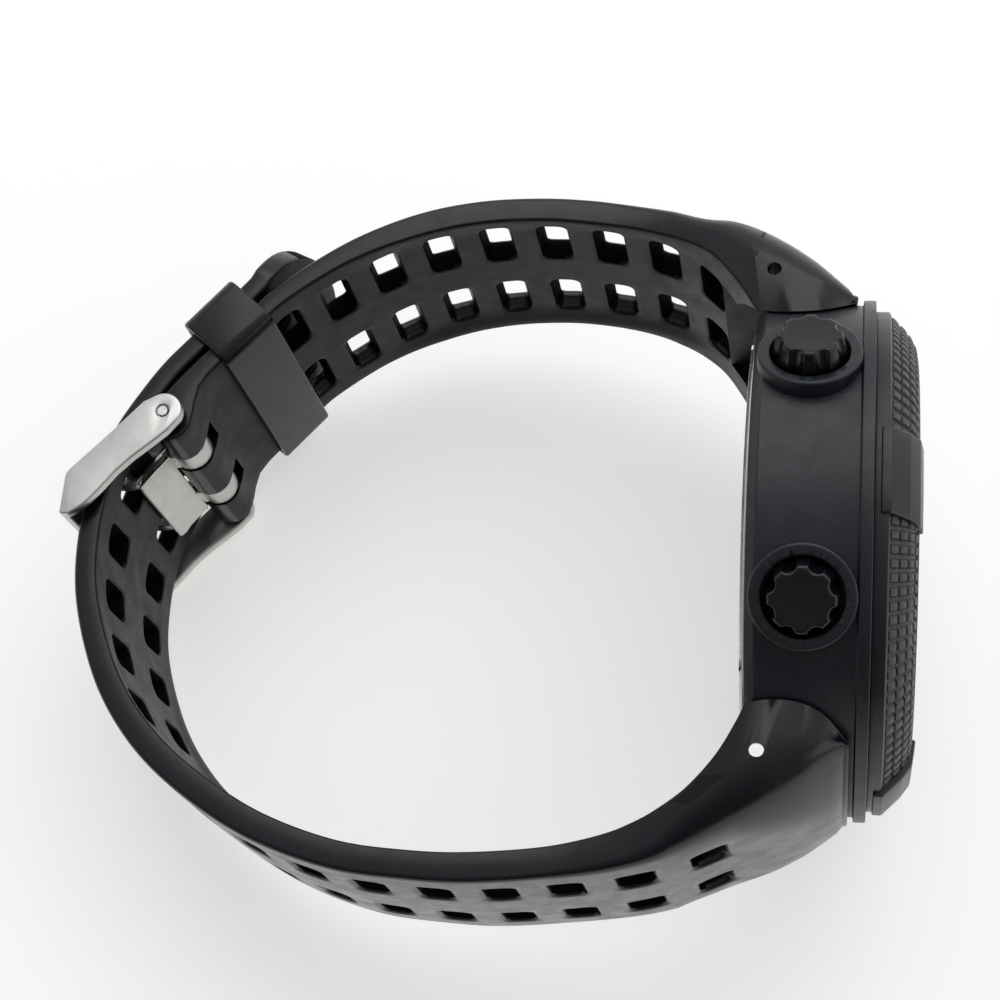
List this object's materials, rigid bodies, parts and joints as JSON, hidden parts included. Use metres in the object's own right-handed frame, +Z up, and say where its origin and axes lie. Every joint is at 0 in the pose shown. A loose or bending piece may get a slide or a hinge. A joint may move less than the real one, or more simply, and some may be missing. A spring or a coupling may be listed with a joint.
{
  "type": "wristwatch",
  "caption": "Digital sports watch with a knurled round bezel, four capped pushers and a perforated resin strap closed by a two-pronged buckle and a loose keeper",
  "frame": {"origin": "middle of the bottom face of the box round the watch as it lies on its 3 o'clock side on a table at z = 0", "axes": "+X is the dial's way, leaned up by the resting tilt, and the longest extent; +Y is the 12 o'clock way; +Z is up and the shortest extent"},
  "size_m": [0.0894, 0.0718, 0.0533],
  "materials": {
    "case_resin": "satin black moulded resin with a fine grain",
    "bezel_resin": "satin black resin, knurled",
    "cap_resin": "semi-gloss black resin",
    "strap_resin": "satin black strap resin",
    "window": "clear flat window",
    "display": "grey green reflective display",
    "dial_print": "printed dark grey",
    "ink": "near black display bars",
    "steel_brushed": "brushed stainless steel",
    "steel_bright": "bright steel",
    "seal_rubber": "black nitrile",
    "pink_rubber": "layered connector rubber",
    "module_plastic": "off-white moulded plastic",
    "board_green": "green solder mask",
    "chip_black": "black potting",
    "brass": "yellow metal",
    "light_panel": "milky light guide"
  },
  "bodies": {
    "case": {"case_body": "case_resin", "bezel": "bezel_resin", "crystal": "window", "crystal_gasket": "seal_rubber", "dial_ring": "dial_print", "dial_mask": "dial_print", "lcd_glass": "display", "lcd_segments": "ink", "backlight_panel": "light_panel", "zebra_strips": "pink_rubber", "module_frame": "module_plastic", "circuit_board": "board_green", "board_parts": "chip_black", "pusher_contacts": "brass", "battery": "steel_bright", "battery_clip": "steel_bright", "battery_clip_screws": "steel_bright", "piezo_disc": "brass", "buzzer_spring": "steel_bright", "back_gasket": "seal_rubber", "case_back": "steel_brushed", "case_back_screws": "steel_bright", "pusher_seals": "seal_rubber", "strap_buckle_half": "strap_resin", "strap_tail_half": "strap_resin", "lug_pins": "steel_bright", "buckle_bar": "steel_bright", "spring_10": "steel_bright", "spring_8": "steel_bright", "spring_4": "steel_bright", "spring_2": "steel_bright", "buckle_bar_spring": "steel_bright"},
    "pusher_10": {"cap_10": "cap_resin", "stem_10": "steel_bright", "clip_10": "steel_bright"},
    "pusher_8": {"cap_8": "cap_resin", "stem_8": "steel_bright", "clip_8": "steel_bright"},
    "pusher_4": {"cap_4": "cap_resin", "stem_4": "steel_bright", "clip_4": "steel_bright"},
    "pusher_2": {"cap_2": "cap_resin", "stem_2": "steel_bright", "clip_2": "steel_bright"},
    "buckle_frame": {"buckle_frame": "steel_brushed"},
    "buckle_tongue": {"buckle_tongue": "steel_brushed"},
    "bar_tip": {"buckle_bar_tip": "steel_bright"},
    "keeper": {"keeper": "strap_resin"}
  },
  "joints": [
    {"name": "press_10", "type": "slide", "parent": "case", "child": "pusher_10", "axis": [0.1504, -0.4478, -0.8814], "range_m": [0, 0.0012], "stiffness_N_per_m": 800, "springref_m": -0.001, "deforming": ["spring_10"]},
    {"name": "press_8", "type": "slide", "parent": "case", "child": "pusher_8", "axis": [0.1504, 0.4478, -0.8814], "range_m": [0, 0.0012], "stiffness_N_per_m": 800, "springref_m": -0.001, "deforming": ["spring_8"]},
    {"name": "press_4", "type": "slide", "parent": "case", "child": "pusher_4", "axis": [-0.1504, 0.4478, 0.8814], "range_m": [0, 0.0012], "stiffness_N_per_m": 800, "springref_m": -0.001, "deforming": ["spring_4"]},
    {"name": "press_2", "type": "slide", "parent": "case", "child": "pusher_2", "axis": [-0.1504, -0.4478, 0.8814], "range_m": [0, 0.0012], "stiffness_N_per_m": 800, "springref_m": -0.001, "deforming": ["spring_2"]},
    {"name": "frame_swing", "type": "hinge", "parent": "case", "child": "buckle_frame", "pos_m": [-0.03314, 0.00999, 0.01575], "axis": [0.1682, 0, -0.9858], "range_deg": [0, 90]},
    {"name": "tongue_swing", "type": "hinge", "parent": "case", "child": "buckle_tongue", "pos_m": [-0.03314, 0.00999, 0.01575], "axis": [-0.1682, 0, 0.9858], "range_deg": [0, 10]},
    {"name": "keeper_slide", "type": "slide", "parent": "case", "child": "keeper", "axis": [-0.6336, -0.766, -0.1081], "range_m": [-0.001, 0.003]},
    {"name": "bar_tip_slide", "type": "slide", "parent": "case", "child": "bar_tip", "axis": [0.1682, 0, -0.9858], "range_m": [0, 0.0012], "stiffness_N_per_m": 1200, "springref_m": -0.001, "deforming": ["buckle_bar_spring"]}
  ]
}
